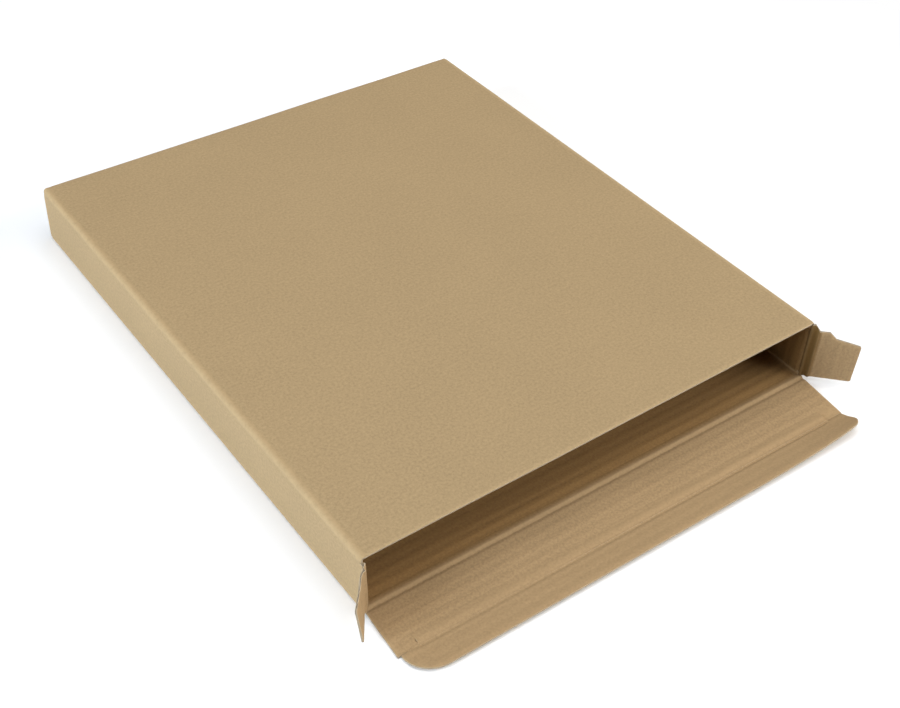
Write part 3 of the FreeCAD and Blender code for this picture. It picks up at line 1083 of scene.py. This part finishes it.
class CARTON_OT_finish(bpy.types.Operator):
    """Make the board's materials and the effects that they share"""

    bl_idname = "carton.finish"
    bl_label = "Make Finish"

    def execute(self, context):
        finish = context.scene.carton_finish
        make_fibre_group()
        make_cloud_group()
        make_flute_group()
        make_scuff_and_highlight_group()
        outer, inner, inside_shade = finish.outer_colour, finish.inner_colour, finish.inside_shade_colour
        make_liner("carton_outside", outer, scaled(outer, 1.0), 0.004, 0.022)
        make_liner("carton_inside", inner, scaled(inside_shade, 1.0), 0.09, 0.030)
        make_cut_edge("carton_cut_edge", finish.cut_colour, False)
        make_cut_edge("carton_flute_ends", finish.cut_colour, True)
        return {"FINISHED"}


class CARTON_OT_sleeve(bpy.types.Operator):
    """Add the folded sleeve: top, bottom and both side walls"""

    bl_idname = "carton.sleeve"
    bl_label = "Add Sleeve"

    def execute(self, context):
        build_sleeve()
        return {"FINISHED"}


class CARTON_OT_lids(bpy.types.Operator):
    """Add the open front lid and the closed back lid"""

    bl_idname = "carton.lids"
    bl_label = "Add Lids"

    def execute(self, context):
        for end in ("front", "back"):
            build_lid(end)
        return {"FINISHED"}


class CARTON_OT_tuck_flaps(bpy.types.Operator):
    """Add the tuck flaps on both lids"""

    bl_idname = "carton.tuck_flaps"
    bl_label = "Add Tuck Flaps"

    def execute(self, context):
        for end in ("front", "back"):
            build_tuck(end)
        return {"FINISHED"}


class CARTON_OT_dust_flaps(bpy.types.Operator):
    """Add the two open dust flaps and the two closed ones"""

    bl_idname = "carton.dust_flaps"
    bl_label = "Add Dust Flaps"

    def execute(self, context):
        for end in ("front", "back"):
            for side in ("left", "right"):
                build_dust(end, side)
        return {"FINISHED"}


class CARTON_OT_stage(bpy.types.Operator):
    """Add the pale floor, the soft light and the camera"""

    bl_idname = "carton.stage"
    bl_label = "Add Stage"

    def execute(self, context):
        stage = context.scene.carton_stage
        half = stage.floor_size / 2
        mesh = bpy.data.meshes.new("stage_floor")
        corners = [(-half, -half), (half, -half), (half, half), (-half, half)]
        mesh.from_pydata([(x, y, FLOOR_LEVEL) for x, y in corners], [], [(0, 1, 2, 3)])
        mesh.materials.append(make_floor_material((0.97, 0.97, 0.97, 1.0)))
        floor = add_object("stage_floor", mesh)
        make_sky(stage.sky_strength)
        lamps = (
            ("left_lamp", stage.left_power, (1.2, 2.0), (-2.9, 0.0, 0.9), (0.79, 0.90, 1.03)),
            ("top_lamp", stage.top_power, (3.0, 3.0), (0.0, -0.1, 3.0), (1.0, 1.0, 1.0)),
            ("front_lamp", stage.front_power, (2.0, 2.0), (2.0, -2.0, 1.2), (1.0, 1.0, 1.0)),
        )
        for name, power, size, place, colour in lamps:
            light = bpy.data.lights.new(name, "AREA")
            light.shape = "RECTANGLE"
            light.size, light.size_y = size
            light.energy = power
            light.color = colour
            add_object(name, light).matrix_world = aimed(Vector(place), Vector((0, 0, 0)))
        view = bpy.data.cameras.new("photo_view")
        view.sensor_width = 36.0
        view.lens = stage.camera_lens
        view.clip_start = 0.01
        camera = add_object("photo_view", view)
        camera.matrix_world = aimed(
            Vector(stage.camera_place), Vector(stage.camera_aim), stage.camera_roll
        )
        context.scene.camera = camera
        context.scene.view_settings.view_transform = "Standard"
        return {"FINISHED"}


class CARTON_PT_panel(bpy.types.Panel):
    """Carton tools in the sidebar"""

    bl_idname = "CARTON_PT_panel"
    bl_label = "Carton"
    bl_space_type = "VIEW_3D"
    bl_region_type = "UI"
    bl_category = "Carton"

    def draw(self, context):
        for operator in OPERATORS:
            self.layout.operator(operator.bl_idname)
        for name, group in GROUPS.items():
            box = self.layout.box()
            for label in group.__annotations__:
                box.prop(getattr(context.scene, name), label)


GROUPS = {
    "carton_board": CartonBoard,
    "carton_flaps": CartonFlaps,
    "carton_finish": CartonFinish,
    "carton_stage": CartonStage,
}
OPERATORS = (
    CARTON_OT_finish,
    CARTON_OT_sleeve,
    CARTON_OT_lids,
    CARTON_OT_tuck_flaps,
    CARTON_OT_dust_flaps,
    CARTON_OT_stage,
)


def register():
    for group in GROUPS.values():
        bpy.utils.register_class(group)
    for operator in OPERATORS:
        bpy.utils.register_class(operator)
    bpy.utils.register_class(CARTON_PT_panel)
    for name, group in GROUPS.items():
        setattr(bpy.types.Scene, name, PointerProperty(type=group))


def unregister():
    for name in GROUPS:
        delattr(bpy.types.Scene, name)
    bpy.utils.unregister_class(CARTON_PT_panel)
    for operator in reversed(OPERATORS):
        bpy.utils.unregister_class(operator)
    for group in reversed(GROUPS.values()):
        bpy.utils.unregister_class(group)


def main():
    """Builds the carton piece by piece."""
    register()
    bpy.ops.carton.finish()
    bpy.ops.carton.sleeve()
    bpy.ops.carton.lids()
    bpy.ops.carton.tuck_flaps()
    bpy.ops.carton.dust_flaps()
    bpy.ops.carton.stage()


if __name__ == "__main__":
    main()
